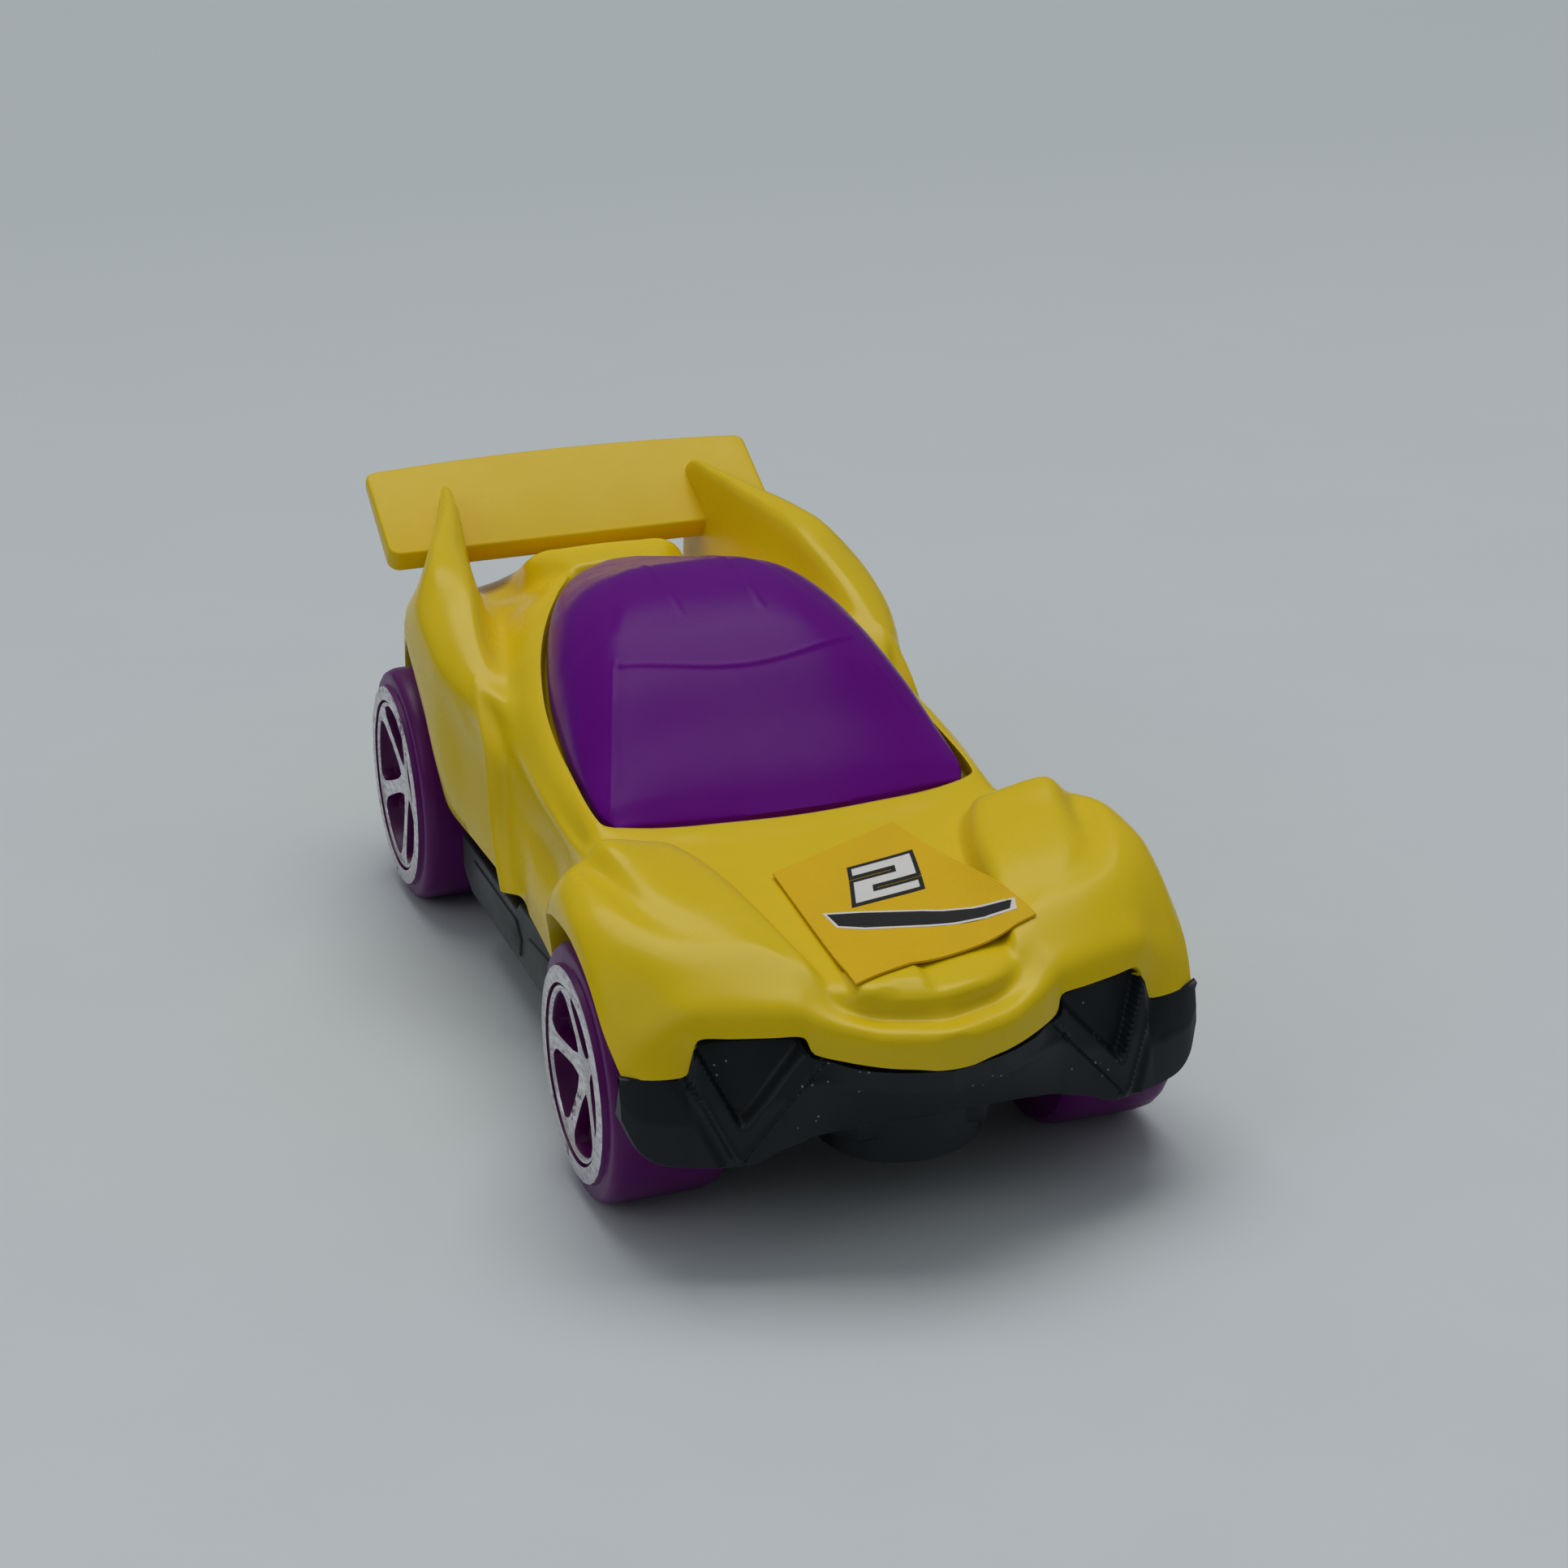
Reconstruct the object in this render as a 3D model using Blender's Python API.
# Pull back toy car: moulded body, canopy, wing, chassis, four wheels on two
# steel axles and a spring motor with a three-stage gear train.
# Metres, +Z up.  The nose points along -Y, +X is the car's left side.
# The origin is on the ground, under the middle of the car.
import bpy
import bmesh
import math
import numpy as np
from mathutils import Matrix, Vector

MM = 0.001

# ---- driving dimensions, millimetres -----------------------------------
WHEELBASE = 44.0
FRONT_Y = -22.0
REAR_Y = FRONT_Y + WHEELBASE
FRONT_R = 6.78          # front tyre radius
REAR_R = 7.38           # rear tyre radius
FRONT_OUT = 15.6        # outer face of the front wheels
REAR_OUT = 15.0         # outer face of the rear wheels
FRONT_IN = 9.0
REAR_IN = 8.7
AXLE_FRONT_R = 0.6
AXLE_REAR_R = 0.75
GAP = 0.3               # clearance between neighbouring pieces
WALL = 1.2              # body shell wall
MODULE = 0.4            # gear module
TEETH_PINION = 10
TEETH_TRANSFER = 24
TEETH_SMALL = 10
TEETH_SPRING = 20
TRANSFER_Z = 9.8
SPRING_Z = 8.9
CASE_Y0, CASE_Y1 = 4.2, 25.9
CASE_Z0, CASE_Z1 = 3.6, 15.9
CASE_X = 7.0
CASE_WALL = 0.7
PIN_R = 0.5
FLOOR_Z0, FLOOR_Z1 = 4.8, 6.0
BOSS_Y = -27.5
POST_REAR_Y = 28.8

R_PIN = MODULE * TEETH_PINION / 2
R_TRA = MODULE * TEETH_TRANSFER / 2
R_SMA = MODULE * TEETH_SMALL / 2
R_SPR = MODULE * TEETH_SPRING / 2
D1 = R_PIN + R_TRA + 0.06
D2 = R_SMA + R_SPR + 0.06
TRANSFER_Y = REAR_Y - math.sqrt(D1 ** 2 - (TRANSFER_Z - REAR_R) ** 2)
SPRING_Y = TRANSFER_Y - math.sqrt(D2 ** 2 - (TRANSFER_Z - SPRING_Z) ** 2)


# ---- scene --------------------------------------------------------------
for old in list(bpy.data.objects):
    bpy.data.objects.remove(old, do_unlink=True)


def material(name, rgb, rough, metal=0.0):
    m = bpy.data.materials.get(name) or bpy.data.materials.new(name)
    m.use_nodes = True
    b = m.node_tree.nodes["Principled BSDF"]
    b.inputs["Base Color"].default_value = (*rgb, 1.0)
    b.inputs["Roughness"].default_value = rough
    b.inputs["Metallic"].default_value = metal
    m.diffuse_color = (*rgb, 1.0)
    return m


YELLOW = material("body_yellow", (0.66, 0.47, 0.012), 0.38)
PURPLE = material("canopy_purple", (0.10, 0.008, 0.16), 0.25)
WHEEL = material("wheel_purple", (0.075, 0.004, 0.10), 0.40)
DARK = material("chassis_dark", (0.012, 0.019, 0.026), 0.45)
STEEL = material("axle_steel", (0.55, 0.55, 0.56), 0.3, 1.0)
WHITE = material("motor_case_white", (0.62, 0.62, 0.58), 0.5)
NYLON = material("gear_nylon", (0.78, 0.76, 0.68), 0.45)
SPRING = material("spring_steel", (0.28, 0.30, 0.34), 0.32, 1.0)
PAPER = material("sticker_paper", (0.68, 0.43, 0.02), 0.6)
SCREW = material("screw_steel", (0.5, 0.5, 0.5), 0.35, 1.0)

ROOT = bpy.data.objects.new("car", None)
bpy.context.scene.collection.objects.link(ROOT)


def add(name, bm, mat, origin=(0, 0, 0), helper=False, smooth=None):
    """Links a bmesh given in millimetres as an object with its origin there."""
    o = Vector(origin)
    for v in bm.verts:
        v.co = (v.co - o) * MM
    me = bpy.data.meshes.new(name)
    bm.to_mesh(me)
    bm.free()
    ob = bpy.data.objects.new(name, me)
    bpy.context.scene.collection.objects.link(ob)
    ob.location = o * MM
    if helper:
        ob.hide_render = True
        ob.display_type = 'WIRE'
    else:
        ob.data.materials.append(mat)
        ob.parent = ROOT
    if smooth is not None:
        me.shade_smooth()
        me.set_sharp_from_angle(angle=math.radians(smooth))
    return ob


def boolean(ob, other, op):
    m = ob.modifiers.new(op.lower() + "_" + other.name, 'BOOLEAN')
    m.operation = op
    m.solver = 'EXACT'
    m.object = other


def box_bm(lo, hi):
    bm = bmesh.new()
    bmesh.ops.create_cube(bm, size=1.0)
    for v in bm.verts:
        v.co = Vector([lo[i] + (v.co[i] + 0.5) * (hi[i] - lo[i]) for i in range(3)])
    return bm


def prism_bm(outline, axis, a, b):
    """Extrudes a closed outline; axis 'z': (x, y) points, axis 'x': (y, z)."""
    bm = bmesh.new()
    rings = []
    for h in (a, b):
        if axis == 'z':
            rings.append([bm.verts.new((p[0], p[1], h)) for p in outline])
        else:
            rings.append([bm.verts.new((h, p[0], p[1])) for p in outline])
    n = len(outline)
    bm.faces.new(rings[0])
    bm.faces.new(list(reversed(rings[1])))
    for i in range(n):
        j = (i + 1) % n
        bm.faces.new((rings[0][j], rings[0][i], rings[1][i], rings[1][j]))
    bmesh.ops.recalc_face_normals(bm, faces=bm.faces)
    return bm


def cyl_bm(axis, c, r, a, b, n=24):
    pts = [(c[0] + r * math.cos(2 * math.pi * i / n),
            c[1] + r * math.sin(2 * math.pi * i / n)) for i in range(n)]
    return prism_bm(pts, axis, a, b)


def lathe_x_bm(profile, yc, zc, n, side=1):
    """Turns (x, r) points about a line along X; both ends close on the axis."""
    bm = bmesh.new()
    rings = []
    for x, r in profile:
        if r < 1e-6:
            rings.append([bm.verts.new((side * x, yc, zc))])
        else:
            rings.append([bm.verts.new((side * x, yc + r * math.cos(2 * math.pi * i / n),
                                        zc + r * math.sin(2 * math.pi * i / n)))
                          for i in range(n)])
    for p, q in zip(rings[:-1], rings[1:]):
        for i in range(n):
            j = (i + 1) % n
            if len(p) == 1:
                bm.faces.new((p[0], q[i], q[j]))
            elif len(q) == 1:
                bm.faces.new((p[i], q[0], p[j]))
            else:
                bm.faces.new((p[i], q[i], q[j], p[j]))
    bmesh.ops.recalc_face_normals(bm, faces=bm.faces)
    return bm


# ---- body shell ----------------------------------------------------------
# The outer skin is a net of feature lines, one half of it written out below.
# Each row is a station from nose to tail.  The lines across it are:
# c centre, m panel, d foot and e rim of the canopy recess (step of the
# bonnet in front), h top of that step, v lobe, r fender crest and fin,
# a and t outer shoulder, f and k flank, b bottom edge (lip, arches, sill).
BODY = [
    # front bottom edge
    [(0, -35.6, 10.3), (2.0, -35.25, 10.5), (3.9, -34.6, 10.7), (5.2, -33.9, 10.9), (6.3, -33.1, 11.1), (6.7, -32.8, 11.9),
     (8.2, -32.4, 12.0), (10.0, -31.8, 12.0), (11.6, -31.2, 11.9), (12.2, -31.2, 10.2), (13.8, -30.8, 10.05), (15.1, -30.1, 10.1)],
    # top edge of the lip
    [(0, -35.4, 12.1), (2.0, -35.0, 12.15), (3.9, -34.3, 12.3), (5.2, -33.5, 12.5), (6.3, -32.7, 12.8), (6.9, -32.3, 13.1),
     (8.4, -31.8, 13.2), (10.2, -31.2, 13.2), (11.8, -30.7, 13.1), (12.9, -30.4, 12.2), (14.2, -29.9, 11.5), (15.3, -29.4, 10.9)],
    # back of the ledge
    [(0, -34.2, 12.6), (2.0, -33.9, 12.7), (3.7, -33.2, 12.8), (4.8, -32.4, 13.1), (5.6, -31.5, 13.5), (6.6, -30.9, 13.9),
     (8.4, -30.5, 14.0), (10.4, -29.9, 14.1), (12.2, -29.4, 13.9), (13.5, -29.0, 13.2), (14.8, -28.6, 12.5), (15.5, -28.3, 12.0)],
    # front edge of the bonnet panel
    [(0, -33.6, 13.4), (2.0, -33.3, 13.45), (3.9, -32.3, 13.45), (4.8, -31.3, 13.55), (5.4, -30.3, 14.2), (6.2, -29.7, 14.5),
     (7.4, -29.0, 14.8), (10.0, -28.4, 15.0), (12.4, -27.9, 14.9), (14.0, -27.5, 14.3), (15.15, -27.2, 13.6), (15.55, -26.9, 13.2)],
    [(0, -30.5, 13.9), (2.2, -30.2, 13.9), (4.4, -29.4, 13.9), (5.1, -28.7, 14.0), (5.8, -27.6, 14.9), (6.9, -27.3, 15.2),
     (9.0, -27.0, 15.5), (11.2, -26.4, 15.6), (13.0, -26.0, 15.7), (14.5, -25.7, 15.3), (15.35, -25.4, 14.7), (15.58, -25.1, 14.2)],
    [(0, -26.5, 14.3), (2.5, -26.2, 14.3), (5.0, -25.5, 14.3), (5.7, -25.0, 14.4), (6.5, -24.2, 15.7), (8.0, -24.2, 16.1),
     (10.8, -24.4, 16.3), (12.3, -23.8, 16.1), (13.8, -23.3, 16.4), (15.0, -23.1, 16.0), (15.5, -22.9, 15.4), (15.58, -22.6, 14.8)],
    [(0, -22.0, 14.8), (2.8, -21.8, 14.8), (5.8, -21.4, 14.8), (6.4, -21.1, 14.9), (7.2, -20.6, 16.2), (9.0, -20.6, 16.7),
     (11.7, -20.8, 17.1), (12.9, -20.6, 16.5), (14.2, -20.4, 16.7), (15.1, -20.2, 16.1), (15.45, -20.1, 15.3), (15.5, -19.9, 14.6)],
    # peak of the fender
    [(0, -18.4, 15.1), (3.3, -18.3, 15.1), (6.6, -18.1, 15.15), (7.4, -17.9, 15.2), (8.3, -17.5, 16.5), (10.0, -17.7, 17.1),
     (12.3, -18.1, 17.6), (13.2, -18.1, 16.8), (14.1, -17.9, 16.2), (14.9, -17.8, 15.3), (15.25, -17.7, 14.4), (15.3, -17.5, 13.8)],
    # foot of the fender, behind the peak
    [(0, -16.2, 15.4), (3.6, -16.0, 15.4), (7.2, -15.6, 15.45), (8.6, -15.3, 15.5), (9.7, -15.2, 15.5), (10.8, -15.3, 15.6),
     (11.9, -15.6, 15.6), (12.8, -15.8, 15.0), (13.6, -15.8, 14.2), (14.2, -15.7, 13.3), (14.6, -15.6, 12.6), (14.7, -15.4, 12.0)],
    # front rim of the canopy recess
    [(0, -13.65, 15.7), (4.4, -13.4, 15.75), (8.2, -12.95, 15.85), (10.3, -12.3, 15.95), (11.0, -12.2, 15.8), (11.5, -12.6, 15.3),
     (12.1, -12.9, 14.7), (12.6, -13.4, 13.6), (13.2, -13.6, 12.4), (13.7, -13.8, 11.2), (14.0, -13.9, 10.0), (14.1, -14.0, 8.9)],
    # foot of the recess
    [(0, -13.3, 14.7), (4.4, -13.05, 14.75), (10.4, -12.0, 15.0), (10.75, -11.7, 16.0), (11.2, -11.6, 15.8), (11.6, -11.8, 15.2),
     (12.1, -12.0, 14.6), (12.3, -12.2, 13.4), (12.8, -12.3, 12.2), (13.3, -12.5, 11.0), (13.7, -12.6, 9.8), (13.8, -12.7, 8.6)],
    [(0, -5, 16.0), (4.4, -5, 16.0), (10.45, -5, 16.1), (10.75, -5, 17.1), (11.15, -5, 17.0), (11.8, -5, 16.3),
     (12.4, -5, 15.3), (11.8, -5, 13.9), (12.0, -5, 12.4), (12.7, -5, 11.2), (13.1, -5, 9.8), (13.1, -5, 8.4)],
    [(0, 1, 17.2), (4.4, 1, 17.2), (9.95, 1, 17.3), (10.3, 1, 18.3), (10.9, 1, 18.2), (11.6, 1, 17.0),
     (13.0, 1, 15.9), (12.5, 1, 14.2), (12.6, 1, 12.4), (13.4, 1, 11.0), (13.6, 1, 9.6), (13.2, 1, 7.7)],
    [(0, 4, 18.0), (4.2, 4, 18.0), (9.4, 4, 18.1), (9.7, 4, 19.1), (10.4, 4, 19.0), (11.2, 4, 18.0),
     (12.8, 4, 16.9), (13.5, 4, 16.0), (13.8, 4, 14.5), (13.8, 4, 12.2), (13.6, 4, 10), (13.2, 4, 7.7)],
    [(0, 8, 18.9), (3.8, 8, 18.9), (8.4, 8, 19.0), (8.7, 8, 20.0), (9.6, 8, 19.8), (10.6, 8, 18.9),
     (12.3, 8, 19.1), (13.6, 8, 18.5), (14.2, 8, 17.2), (14.1, 8, 14.0), (13.9, 8, 11), (13.4, 8, 8.2)],
    [(0, 11, 19.4), (3.4, 11, 19.4), (7.2, 11, 19.5), (7.5, 11, 20.5), (8.6, 11, 20.2), (10.0, 11, 19.0),
     (11.8, 11, 20.4), (13.4, 11, 19.9), (14.4, 11, 18.6), (14.4, 11.2, 15.4), (14.2, 11.6, 12), (13.7, 12.2, 9.2)],
    [(0, 15, 19.7), (2.6, 15, 19.7), (5.4, 15, 19.8), (5.7, 15, 20.8), (7.2, 15, 20.2), (9.2, 15, 18.9),
     (11.0, 15, 22.0), (12.8, 15, 21.6), (14.3, 15, 20.2), (14.6, 14.6, 17.4), (14.4, 14.2, 14.8), (14.0, 13.9, 12.9)],
    [(0, 19.7, 19.8), (1.6, 19.6, 19.8), (3.1, 19.3, 19.9), (3.8, 19.1, 20.8), (6.0, 18.8, 19.8), (8.6, 18.5, 18.7),
     (10.5, 18.5, 22.8), (12.2, 18.5, 22.9), (13.5, 18.5, 21.0), (14.4, 18.3, 18.8), (14.3, 17.9, 17.2), (14.1, 17.5, 16.0)],
    # rear rim of the recess
    [(0, 20.3, 21.0), (1.6, 20.3, 20.95), (3.1, 20.4, 20.75), (3.8, 20.6, 20.35), (5.8, 20.8, 19.3), (8.4, 21, 18.5),
     (10.1, 21, 23.0), (11.6, 21, 23.2), (12.7, 21, 20.8), (13.7, 20.8, 18.9), (13.9, 20.6, 17.8), (13.8, 20.4, 16.9)],
    [(0, 24, 21.0), (2.4, 24, 20.95), (4.2, 24, 20.75), (5.0, 24, 20.1), (5.8, 24, 18.4), (8.0, 24, 18.2),
     (9.4, 24, 23.3), (10.6, 24, 23.5), (11.8, 24, 20.4), (12.7, 24, 18.8), (13.1, 24, 17.9), (13.2, 23.8, 17.0)],
    [(0, 28, 19.1), (2.4, 28, 19.0), (4.2, 28, 18.9), (5.0, 28, 18.6), (5.8, 28, 17.9), (7.6, 28, 17.6),
     (8.6, 28, 23.7), (9.4, 28, 23.8), (10.9, 28, 19.2), (11.7, 28, 17.9), (12.3, 27.9, 16.8), (12.5, 27.6, 15.3)],
    # end of the fins
    [(0, 32.2, 17.0), (2.4, 32.2, 17.0), (4.2, 32.2, 16.9), (5.0, 32.2, 16.8), (5.8, 32.2, 16.7), (7.6, 32.2, 16.6),
     (8.1, 32.4, 22.9), (8.6, 32.4, 22.9), (9.6, 31.6, 16.8), (11.2, 31.2, 16.0), (11.9, 31.0, 14.0), (12.0, 30.8, 12.0)],
    [(0, 33.2, 15.6), (2.4, 33.2, 15.6), (4.2, 33.2, 15.6), (5.0, 33.2, 15.6), (5.8, 33.2, 15.5), (7.6, 33.1, 15.4),
     (8.2, 33.1, 15.4), (8.9, 33.1, 15.3), (9.9, 33.0, 15.0), (11.0, 32.6, 14.0), (11.5, 32.2, 12.0), (11.7, 31.9, 10.4)],
    # rear bottom edge
    [(0, 33.6, 8.8), (2.4, 33.6, 8.8), (4.2, 33.6, 8.8), (5.0, 33.6, 8.8), (5.8, 33.6, 8.8), (7.6, 33.6, 8.8),
     (8.4, 33.6, 8.8), (9.2, 33.6, 8.8), (10.0, 33.5, 8.8), (10.7, 33.3, 8.8), (11.2, 33.0, 8.8), (11.6, 32.6, 8.8)],
]
SPREAD = (0, .15, .3, .42, .54, .66, .78, .9)


def inner_net(outer):
    """The hollow under the skin: a flat ceiling between upright side walls."""
    net = []
    last = len(outer) - 1
    for j, row in enumerate(outer):
        if j == 0:
            net.append([(x * 0.93, y + 1.3, z) for x, y, z in row])
            continue
        if j == last:
            net.append([(x * 0.92, y - 1.3, z) for x, y, z in row])
            continue
        dy = (1.5 if j == 1 else 1.1 if j < 4 else -1.2 if j == last - 1 else 0.0)
        top = min(p[2] for p in row[:6]) - (1.0 if j == 1 else 1.3)
        wall = min(p[0] for p in row[7:11]) - WALL
        line = [(s * wall, row[i][1] + dy, row[i][2] - 1.15 if j < 4 else top) for i, s in enumerate(SPREAD)]
        if j < 4:
            top = line[-1][2]
        xb, yb, zb = row[11]
        foot = xb - 1.1
        z0 = top - (0.3 if j < 4 else 0.4)
        for k in range(3):
            t = (k + 0.5) / 3.5
            line.append((wall + (foot - wall) * t, row[8 + k][1] + dy * (1 - t), z0 + (zb - z0) * t))
        line.append((foot, yb + dy * 0.6, zb))
        net.append(line)
    return net


def shell_bm(outer, inner):
    bm = bmesh.new()
    rows, cols = len(outer), len(outer[0])

    def verts(net):
        grid = []
        for row in net:
            left = [bm.verts.new((-p[0], p[1], p[2])) for p in reversed(row[1:])]
            right = [bm.verts.new(p) for p in row]
            grid.append(left + right)
        return grid

    a, b = verts(outer), verts(inner)
    n = 2 * cols - 1
    for j in range(rows - 1):
        for i in range(n - 1):
            bm.faces.new((a[j][i], a[j][i + 1], a[j + 1][i + 1], a[j + 1][i]))
            bm.faces.new((b[j][i], b[j + 1][i], b[j + 1][i + 1], b[j][i + 1]))
    for i in range(n - 1):
        bm.faces.new((a[0][i + 1], a[0][i], b[0][i], b[0][i + 1]))
        bm.faces.new((a[-1][i], a[-1][i + 1], b[-1][i + 1], b[-1][i]))
    for j in range(rows - 1):
        bm.faces.new((a[j][0], a[j + 1][0], b[j + 1][0], b[j][0]))
        bm.faces.new((a[j + 1][-1], a[j][-1], b[j][-1], b[j + 1][-1]))
    bmesh.ops.triangulate(bm, faces=bm.faces, quad_method='SHORT_EDGE')
    bmesh.ops.recalc_face_normals(bm, faces=bm.faces)
    return bm


body = add("body_shell", shell_bm(BODY, inner_net(BODY)), YELLOW, smooth=35)

# wing section in the YZ plane and its plan corners
WING = [(35.6, 24.95), (35.6, 24.1), (35.1, 23.4), (29.2, 19.4), (28.4, 19.3), (28.3, 20.5), (29.3, 21.3)]
WING_HALF = 13.0


def wing_bm(grow=0.0):
    """The wing, a tilted slab with rounded ends; grow widens it all round."""
    cy = sum(p[0] for p in WING) / len(WING)
    cz = sum(p[1] for p in WING) / len(WING)
    sec = []
    for k, (y, z) in enumerate(WING):
        d = Vector((y - cy, z - cz))
        n = Vector((-(24.95 - 21.3), 6.3)).normalized()
        up = 1 if (d.dot(n) > 0) else -1
        e = Vector((y, z)) + n * (up * grow)
        e += Vector((n.y, -n.x)) * (grow * (1 if d.dot(Vector((n.y, -n.x))) > 0 else -1))
        sec.append((e.x, e.y))
    bm = bmesh.new()
    xs = [0.0, 0.45, 0.8, 0.94, 1.0]
    stations = []
    half = WING_HALF + grow
    for k, s in enumerate([1.0, 0.985, 0.93]):
        inset = (1.3, 0.55, 0.0)[k]
        stations.append((half * s, inset))
    full = [(-x, i) for x, i in stations] + [(x, i) for x, i in reversed(stations)]
    rings = []
    for x, inset in full:
        ring = []
        y0, y1 = min(p[0] for p in sec), max(p[0] for p in sec)
        for y, z in sec:
            f = 1 - 2 * inset / (y1 - y0)
            yc, zc = (y0 + y1) / 2, (20.3 + 24.2) / 2
            ring.append(bm.verts.new((x, yc + (y - yc) * f, zc + (z - zc) * f if inset else z)))
        rings.append(ring)
    n = len(sec)
    for p, q in zip(rings[:-1], rings[1:]):
        for i in range(n):
            j = (i + 1) % n
            bm.faces.new((p[i], p[j], q[j], q[i]))
    bm.faces.new(rings[0])
    bm.faces.new(list(reversed(rings[-1])))
    bmesh.ops.triangulate(bm, faces=bm.faces)
    bmesh.ops.recalc_face_normals(bm, faces=bm.faces)
    return bm


wing = add("rear_wing", wing_bm(), YELLOW, smooth=35)
wing_slot = add("wing_slot", wing_bm(GAP), None, helper=True)
boolean(body, wing_slot, 'DIFFERENCE')

for s in (-1, 1):
    side = "left" if s > 0 else "right"
    a, b = sorted((s * 8.3, s * 17.0))
    well = add("well_front_" + side, cyl_bm('x', (FRONT_Y, FRONT_R), FRONT_R + 0.7, a, b, 40), None, helper=True)
    boolean(body, well, 'DIFFERENCE')
for name, y, top in (("front", BOSS_Y, 13.3), ("rear", POST_REAR_Y, 16.6)):
    post = add("post_" + name, cyl_bm('z', (0, y), 2.2, FLOOR_Z1 + GAP, top, 20), None, helper=True)
    pilot = add("pilot_" + name, cyl_bm('z', (0, y), 1.1, 0.0, 12.2, 16), None, helper=True)
    boolean(body, post, 'UNION')
    boolean(body, pilot, 'DIFFERENCE')

# ---- canopy ---------------------------------------------------------------
# (y, half width, height of the rim, height of the crown)
CANOPY = [(-12.95, 9.1, 15.75, 15.95), (-11.4, 10.05, 16.0, 17.1), (-8.0, 10.15, 16.55, 19.4), (-4.6, 10.05, 17.1, 21.6),
          (-1.5, 9.8, 17.7, 23.2), (2.5, 9.3, 18.7, 24.5), (5.5, 8.7, 19.4, 25.0), (8.5, 7.9, 20.1, 24.6),
          (12.0, 6.5, 20.7, 23.5), (15.5, 4.7, 21.0, 22.6), (19.1, 1.8, 21.1, 21.6)]
RIM_DEPTH = 0.65


def canopy_bm():
    bm = bmesh.new()
    fr = (0.0, 0.2, 0.4, 0.6, 0.78, 0.91, 1.0)
    top, low = [], []
    for k, (y, w, zr, zc) in enumerate(CANOPY):
        a, b = [], []
        for s in [-f for f in reversed(fr[1:])] + list(fr):
            t = abs(s)
            sweep = 1.5 * t ** 2.2 * max(0.0, 1 - k / 3.0)
            z = zr + (zc - zr) * (1 - t ** 2.6) ** 0.62
            a.append(bm.verts.new((s * w, y + sweep, z)))
            b.append(bm.verts.new((s * w, y + sweep, zr - RIM_DEPTH)))
        top.append(a)
        low.append(b)
    n = len(top[0])
    for j in range(len(top) - 1):
        for i in range(n - 1):
            bm.faces.new((top[j][i], top[j][i + 1], top[j + 1][i + 1], top[j + 1][i]))
            bm.faces.new((low[j][i], low[j + 1][i], low[j + 1][i + 1], low[j][i + 1]))
    for i in range(n - 1):
        bm.faces.new((top[0][i + 1], top[0][i], low[0][i], low[0][i + 1]))
        bm.faces.new((top[-1][i], top[-1][i + 1], low[-1][i + 1], low[-1][i]))
    for j in range(len(top) - 1):
        bm.faces.new((top[j][0], top[j + 1][0], low[j + 1][0], low[j][0]))
        bm.faces.new((top[j + 1][-1], top[j][-1], low[j][-1], low[j + 1][-1]))
    bmesh.ops.triangulate(bm, faces=bm.faces)
    bmesh.ops.recalc_face_normals(bm, faces=bm.faces)
    return bm


canopy = add("canopy", canopy_bm(), PURPLE, smooth=35)

# ---- bonnet sticker --------------------------------------------------------
STICKER = [(-3.8, -19.7), (4.2, -16.2), (5.6, -28.1), (-3.7, -32.0)]
STICKER_T = 0.2


def bonnet_z(y):
    return 15.65 + (y + 13.6) * 0.112


def sticker_bm():
    bm = bmesh.new()
    n = 4
    grids = []
    for lift in (GAP, GAP + STICKER_T):
        g = []
        for j in range(n + 1):
            row = []
            for i in range(n + 1):
                u, v = i / n, j / n
                x = (1 - v) * ((1 - u) * STICKER[0][0] + u * STICKER[1][0]) + v * ((1 - u) * STICKER[3][0] + u * STICKER[2][0])
                y = (1 - v) * ((1 - u) * STICKER[0][1] + u * STICKER[1][1]) + v * ((1 - u) * STICKER[3][1] + u * STICKER[2][1])
                climb = max(0.0, abs(x) - 3.5) * 0.75 * max(0.0, min(1.0, (-22.5 - y) / 3.0))
                row.append(bm.verts.new((x, y, bonnet_z(y) + lift + climb)))
            g.append(row)
        grids.append(g)
    lo, hi = grids
    for j in range(n):
        for i in range(n):
            bm.faces.new((hi[j][i], hi[j][i + 1], hi[j + 1][i + 1], hi[j + 1][i]))
            bm.faces.new((lo[j][i], lo[j + 1][i], lo[j + 1][i + 1], lo[j][i + 1]))
    for i in range(n):
        bm.faces.new((hi[0][i + 1], hi[0][i], lo[0][i], lo[0][i + 1]))
        bm.faces.new((hi[n][i], hi[n][i + 1], lo[n][i + 1], lo[n][i]))
        bm.faces.new((hi[i][0], hi[i + 1][0], lo[i + 1][0], lo[i][0]))
        bm.faces.new((hi[i + 1][n], hi[i][n], lo[i][n], lo[i + 1][n]))
    bmesh.ops.triangulate(bm, faces=bm.faces)
    bmesh.ops.recalc_face_normals(bm, faces=bm.faces)
    return bm


add("hood_sticker", sticker_bm(), PAPER)

# ---- chassis ---------------------------------------------------------------
# bumper: (x, front y at the top, z top, front y at the bottom, z bottom)
BUMPER = [(0.0, -35.2, 10.0, -34.6, 8.2), (2.6, -34.8, 10.2, -34.3, 8.0), (4.6, -34.0, 10.4, -33.9, 7.5),
          (6.5, -32.7, 10.8, -33.4, 6.7), (8.6, -31.9, 11.3, -33.3, 6.2), (10.8, -31.25, 11.3, -32.7, 5.9),
          (11.2, -31.3, 9.8, -32.5, 5.9), (13.6, -30.7, 9.7, -31.8, 6.0), (14.7, -30.4, 9.7, -31.1, 6.6),
          (15.2, -30.2, 9.7, -30.4, 7.9)]
BUMPER_BACK = -29.4


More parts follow.
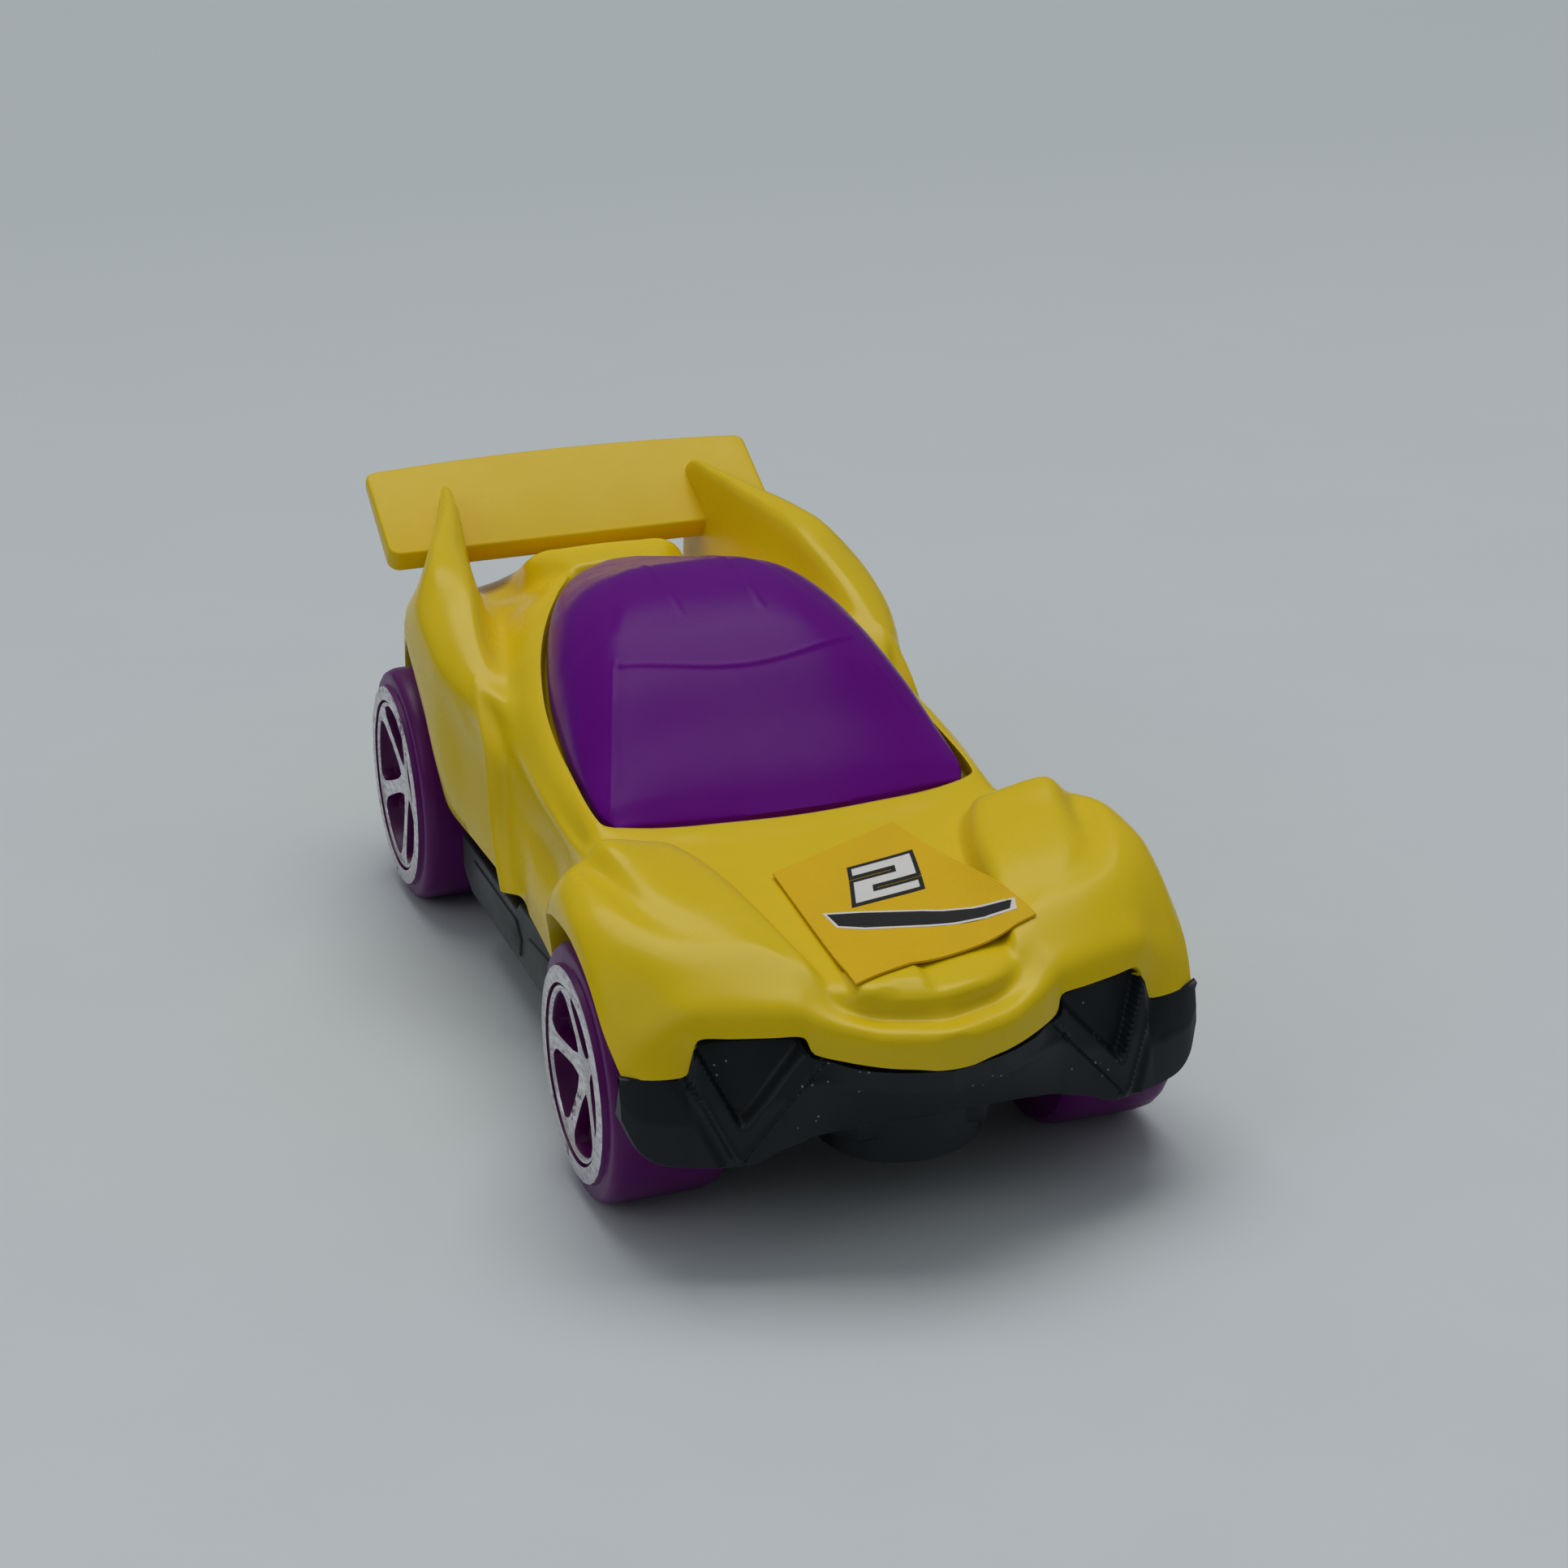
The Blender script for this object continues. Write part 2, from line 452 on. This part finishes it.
def bumper_bm():
    bm = bmesh.new()
    rows = []
    half = list(BUMPER)
    full = [(-x, a, b, c, d) for x, a, b, c, d in reversed(half[1:])] + half
    for x, yt, zt, yb, zb in full:
        inner = abs(x) < 7.0
        back = -31.0 if inner else BUMPER_BACK
        rows.append([bm.verts.new(p) for p in (
            (x, yt, zt), (x, min(yt, yb) - (0.15 if not inner else 0.0), (zt * 0.45 + zb * 0.55)), (x, yb, zb),
            (x, back, zb), (x, min(back, -30.9) if zt > 11 else back, zt))])
    for p, q in zip(rows[:-1], rows[1:]):
        for i in range(5):
            j = (i + 1) % 5
            bm.faces.new((p[i], p[j], q[j], q[i]))
    bm.faces.new(rows[0])
    bm.faces.new(list(reversed(rows[-1])))
    bmesh.ops.triangulate(bm, faces=bm.faces)
    bmesh.ops.recalc_face_normals(bm, faces=bm.faces)
    return bm


FLOOR = [(7.4, -31.2), (7.9, -29.6), (7.9, -13.6), (12.7, -12.2), (12.7, 12.0), (8.0, 13.4), (8.0, 30.6), (11.2, 30.6),
         (11.2, 32.4), (-11.2, 32.4), (-11.2, 30.6), (-8.0, 30.6), (-8.0, 13.4), (-12.7, 12.0), (-12.7, -12.2),
         (-7.9, -13.6), (-7.9, -29.6), (-7.4, -31.2)]
chassis = add("chassis", prism_bm(FLOOR, 'z', FLOOR_Z0, FLOOR_Z1), DARK, smooth=30)


def weld_on(name, bm):
    boolean(chassis, add(name, bm, None, helper=True), 'UNION')


def cut_off(name, bm):
    boolean(chassis, add(name, bm, None, helper=True), 'DIFFERENCE')


weld_on("front_bumper", bumper_bm())
weld_on("bumper_root", box_bm((-7.2, -33.0, 5.0), (7.2, -30.4, 8.6)))
for s in (-1, 1):
    side = "left" if s > 0 else "right"
    tri = [(6.9, 12.5), (11.2, 12.5), (10.9, 9.9), (10.3, 7.6), (9.6, 7.6)]
    bm = bmesh.new()
    r0 = [bm.verts.new((s * x, -36.0, z)) for x, z in tri]
    r1 = [bm.verts.new((s * x, -31.0, z)) for x, z in tri]
    bm.faces.new(r0)
    bm.faces.new(list(reversed(r1)))
    for i in range(5):
        j = (i + 1) % 5
        bm.faces.new((r0[j], r0[i], r1[i], r1[j]))
    bmesh.ops.recalc_face_normals(bm, faces=bm.faces)
    cut_off("intake_" + side, bm)
    a, b = sorted((s * 11.9, s * 12.9))
    weld_on("skirt_" + side, prism_bm([(-12.0, 4.2), (-11.0, 3.9), (10.6, 3.9), (12.6, 4.8), (12.6, 7.2), (-0.5, 7.2), (-1.4, 7.9), (-12.4, 8.1)], 'x', a, b))
    a, b = sorted((s * 5.8, s * 7.4))
    weld_on("ear_" + side, prism_bm([(-24.6, 5.2), (-19.4, 5.2), (-20.6, 8.4), (-21.2, 9.0), (-22.8, 9.0), (-23.4, 8.4)], 'x', a, b))
    cut_off("axle_hole_" + side, cyl_bm('x', (FRONT_Y, FRONT_R), AXLE_FRONT_R + GAP, a - 0.5, b + 0.5, 20))
weld_on("front_boss", cyl_bm('z', (0, BOSS_Y), 4.0, 3.5, 5.6, 32))
weld_on("tray", box_bm((-8.0, CASE_Y0 - 1.1, 2.3), (8.0, CASE_Y1 + 1.1, 6.0)))
cut_off("tray_hollow", box_bm((-CASE_X - 0.4, CASE_Y0 - 0.4, CASE_Z0 - 0.3), (CASE_X + 0.4, CASE_Y1 + 0.4, 9.0)))
weld_on("rear_valance", prism_bm([(30.8, 5.0), (31.3, 4.2), (33.0, 4.6), (33.7, 6.2), (33.5, 8.4), (32.0, 8.4), (31.2, 6.0)], 'x', -11.2, 11.2))
for name, y, z in (("front", BOSS_Y, 3.5), ("rear", POST_REAR_Y, FLOOR_Z0)):
    cut_off("screw_seat_" + name, cyl_bm('z', (0, y), 2.0, z - 1.0, z + (1.4 if name == "front" else 0.5), 24))
    cut_off("screw_hole_" + name, cyl_bm('z', (0, y), 1.1, z - 1.0, 7.5, 16))


# ---- screws ------------------------------------------------------------------
def screw_bm(y, z0, top):
    """Pan head with a cross recess and a plain pointed shank, head down."""
    n = 20
    prof = [(z0, 0.9), (z0 + 0.25, 1.45), (z0 + 0.8, 1.6), (z0 + 0.8, 0.8), (top - 0.9, 0.8), (top, 0.0)]
    bm = bmesh.new()
    rings = []
    for z, r in [(z0, 0.0)] + prof:
        if r == 0:
            rings.append([bm.verts.new((0, y, z))])
        else:
            rings.append([bm.verts.new((r * math.cos(2 * math.pi * i / n), y + r * math.sin(2 * math.pi * i / n), z)) for i in range(n)])
    for p, q in zip(rings[:-1], rings[1:]):
        for i in range(n):
            j = (i + 1) % n
            if len(p) == 1:
                bm.faces.new((p[0], q[i], q[j]))
            elif len(q) == 1:
                bm.faces.new((p[i], q[0], p[j]))
            else:
                bm.faces.new((p[i], q[i], q[j], p[j]))
    bmesh.ops.recalc_face_normals(bm, faces=bm.faces)
    return bm


for name, y, z0, top in (("front", BOSS_Y, 3.7, 11.6), ("rear", POST_REAR_Y, 4.2, 11.6)):
    screw = add("chassis_screw_" + name, screw_bm(y, z0, top), SCREW, smooth=30)
    slot = add("driver_slot_" + name, box_bm((-0.75, y - 0.16, z0 - 0.4), (0.75, y + 0.16, z0 + 0.35)), None, helper=True)
    boolean(screw, slot, 'DIFFERENCE')
    slot = add("driver_cross_" + name, box_bm((-0.16, y - 0.75, z0 - 0.4), (0.16, y + 0.75, z0 + 0.35)), None, helper=True)
    boolean(screw, slot, 'DIFFERENCE')


# ---- wheels and axles ---------------------------------------------------------
def wheel_profile(r, x_in, x_out, bore, ring):
    """(x, r) from the hub on the outer side round the tyre to the axle bore."""
    return [(x_out - 1.75, 0.0), (x_out - 1.7, 1.0), (x_out - 1.25, ring * 0.5), (x_out - 0.75, ring - 1.1), (x_out - 0.05, ring - 1.0),
            (x_out, ring), (x_out - 0.35, ring + 0.15), (x_out - 0.35, r - 0.45), (x_out - 0.75, r - 0.1), (x_out - 1.2, r),
            (x_in + 0.8, r), (x_in + 0.2, r - 0.35), (x_in, r - 0.9), (x_in, r - 1.7), (x_in + 1.8, r - 2.1), (x_in + 1.8, 2.2),
            (x_in, 2.0), (x_in, bore), (x_out - 2.5, bore), (x_out - 2.5, 0.0)]


SEG = 36
for tag, y, r, x_in, x_out, ar, ring in (("front", FRONT_Y, FRONT_R, FRONT_IN, FRONT_OUT, AXLE_FRONT_R, 5.65),
                                          ("rear", REAR_Y, REAR_R, REAR_IN, REAR_OUT, AXLE_REAR_R, 6.35)):
    for s in (-1, 1):
        side = "left" if s > 0 else "right"
        add("wheel_%s_%s" % (tag, side), lathe_x_bm(wheel_profile(r, x_in, x_out, ar + GAP, ring), y, r, SEG, s), WHEEL,
            origin=(0, y, r), smooth=35)
    end = x_out - 2.5 - GAP
    add("%s_axle" % tag, lathe_x_bm([(-end, 0.0), (-end, ar - 0.15), (-end + 0.2, ar), (end - 0.2, ar), (end, ar - 0.15), (end, 0.0)],
                                    y, r, 16), STEEL, origin=(0, y, r), smooth=35)


# ---- gears -------------------------------------------------------------------
def gear_ring(teeth, phase, bias=0.36):
    """Trapezoid teeth with plenty of backlash; phase is the angle of a tooth."""
    rp = MODULE * teeth / 2
    ro, ri = rp + 0.85 * MODULE, rp - 1.2 * MODULE
    pitch = 2 * math.pi / teeth
    pts = []
    for k in range(teeth):
        a = phase + k * pitch
        w = bias * pitch / 2
        pts += [(ri, a - w * 1.75), (ro, a - w * 0.55), (ro, a + w * 0.55), (ri, a + w * 1.75)]
    return pts


def gear_bm(stages, yc, zc, bore):
    """stages: (x0, x1, outline in polar form); neighbours share their plane."""
    bm = bmesh.new()
    n = 24
    for x0, x1, ring in stages[:1]:
        pts = [(yc + r * math.cos(a), zc + r * math.sin(a)) for r, a in ring]
        bm = prism_bm(pts, 'x', x0, x1)
    return bm


def direction(y0, z0, y1, z1):
    return math.atan2(z1 - z0, y1 - y0)


# phases: at rest a tooth of the driver points at a gap of the driven gear
A1 = direction(REAR_Y, REAR_R, TRANSFER_Y, TRANSFER_Z)
A2 = direction(TRANSFER_Y, TRANSFER_Z, SPRING_Y, SPRING_Z)
PHASE_PINION = A1
PHASE_TRANSFER = A1 + math.pi + math.pi / TEETH_TRANSFER
PHASE_SMALL = A2
PHASE_SPRING = A2 + math.pi + math.pi / TEETH_SPRING


def gear(name, yc, zc, bore, teeth, phase, x0, x1, second=None, hub=None):
    bm = gear_bm([(x0, x1, gear_ring(teeth, phase))], yc, zc, bore)
    ob = add(name, bm, NYLON, origin=(0, yc, zc), smooth=30)
    if second:
        t2, p2, a, b = second
        boolean(ob, add(name + "_small", gear_bm([(a, b, gear_ring(t2, p2))], yc, zc, bore), None, helper=True), 'UNION')
    if hub:
        r, a, b = hub
        boolean(ob, add(name + "_hub", cyl_bm('x', (yc, zc), r, a, b, 20), None, helper=True), 'UNION')
    boolean(ob, add(name + "_bore", cyl_bm('x', (yc, zc), bore, -9, 9, 16), None, helper=True), 'DIFFERENCE')
    return ob


gear("axle_pinion", REAR_Y, REAR_R, AXLE_REAR_R + GAP, TEETH_PINION, PHASE_PINION, 2.1, 4.3)
gear("transfer_gear", TRANSFER_Y, TRANSFER_Z, PIN_R + GAP, TEETH_TRANSFER, PHASE_TRANSFER, 2.4, 4.0,
     second=(TEETH_SMALL, PHASE_SMALL, 0.0, 2.6))
gear("spring_gear", SPRING_Y, SPRING_Z, PIN_R + GAP, TEETH_SPRING, PHASE_SPRING, 0.3, 1.7, hub=(1.2, -5.4, 0.6))

for name, y, z in (("transfer_pin", TRANSFER_Y, TRANSFER_Z), ("spring_pin", SPRING_Y, SPRING_Z)):
    add(name, lathe_x_bm([(-6.9, 0.0), (-6.9, PIN_R - 0.1), (-6.8, PIN_R), (6.8, PIN_R), (6.9, PIN_R - 0.1), (6.9, 0.0)], y, z, 14),
        STEEL, origin=(0, y, z), smooth=35)


# ---- mainspring ----------------------------------------------------------------
def mainspring_bm(turns=3.2, r0=1.75, r1=3.75, t=0.22, x0=-5.0, x1=-1.2):
    """A flat strip wound in a spiral round the hub of the spring gear."""
    bm = bmesh.new()
    steps = int(turns * 20)
    rows = []
    for k in range(steps + 1):
        u = k / steps
        a = 2 * math.pi * turns * u
        r = r0 + (r1 - r0) * u
        row = []
        for x, rr in ((x0, r - t / 2), (x1, r - t / 2), (x1, r + t / 2), (x0, r + t / 2)):
            row.append(bm.verts.new((x, SPRING_Y + rr * math.cos(a), SPRING_Z + rr * math.sin(a))))
        rows.append(row)
    for p, q in zip(rows[:-1], rows[1:]):
        for i in range(4):
            j = (i + 1) % 4
            bm.faces.new((p[i], p[j], q[j], q[i]))
    bm.faces.new(rows[0])
    bm.faces.new(list(reversed(rows[-1])))
    bmesh.ops.recalc_face_normals(bm, faces=bm.faces)
    return bm


add("mainspring", mainspring_bm(), SPRING, origin=(0, SPRING_Y, SPRING_Z), smooth=35)

# ---- motor case, two half shells --------------------------------------------------
for s in (-1, 1):
    side = "left" if s > 0 else "right"
    a, b = sorted((s * 0.15, s * CASE_X))
    half = add("motor_case_" + side, box_bm((a, CASE_Y0, CASE_Z0), (b, CASE_Y1, CASE_Z1)), WHITE, smooth=30)
    a, b = sorted((s * -0.5, s * (CASE_X - CASE_WALL)))
    w = CASE_WALL
    boolean(half, add("case_hollow_" + side, box_bm((a, CASE_Y0 + w, CASE_Z0 + w), (b, CASE_Y1 - w, CASE_Z1 - w)), None, helper=True), 'DIFFERENCE')
    a, b = sorted((s * 5.8, s * 7.6))
    for name, y, z, r in (("axle", REAR_Y, REAR_R, AXLE_REAR_R + GAP), ("transfer", TRANSFER_Y, TRANSFER_Z, PIN_R + GAP),
                          ("spring", SPRING_Y, SPRING_Z, PIN_R + GAP)):
        boolean(half, add("case_%s_hole_%s" % (name, side), cyl_bm('x', (y, z), r, a, b, 16), None, helper=True), 'DIFFERENCE')

# two rivets that hold the halves together, above the rear axle and in front of the spring
for name, y, z in (("front", 5.7, 14.2), ("rear", 24.0, 13.6)):
    add("case_rivet_" + name, lathe_x_bm([(-6.9, 0.0), (-6.9, 0.35), (6.9, 0.35), (6.9, 0.0)], y, z, 12), STEEL, smooth=35)
    for side in ("left", "right"):
        half = bpy.data.objects["motor_case_" + side]
        a, b = (5.8, 7.6) if side == "left" else (-7.6, -5.8)
        boolean(half, add("rivet_hole_%s_%s" % (name, side), cyl_bm('x', (y, z), 0.65, a, b, 12), None, helper=True), 'DIFFERENCE')

bpy.context.view_layer.update()
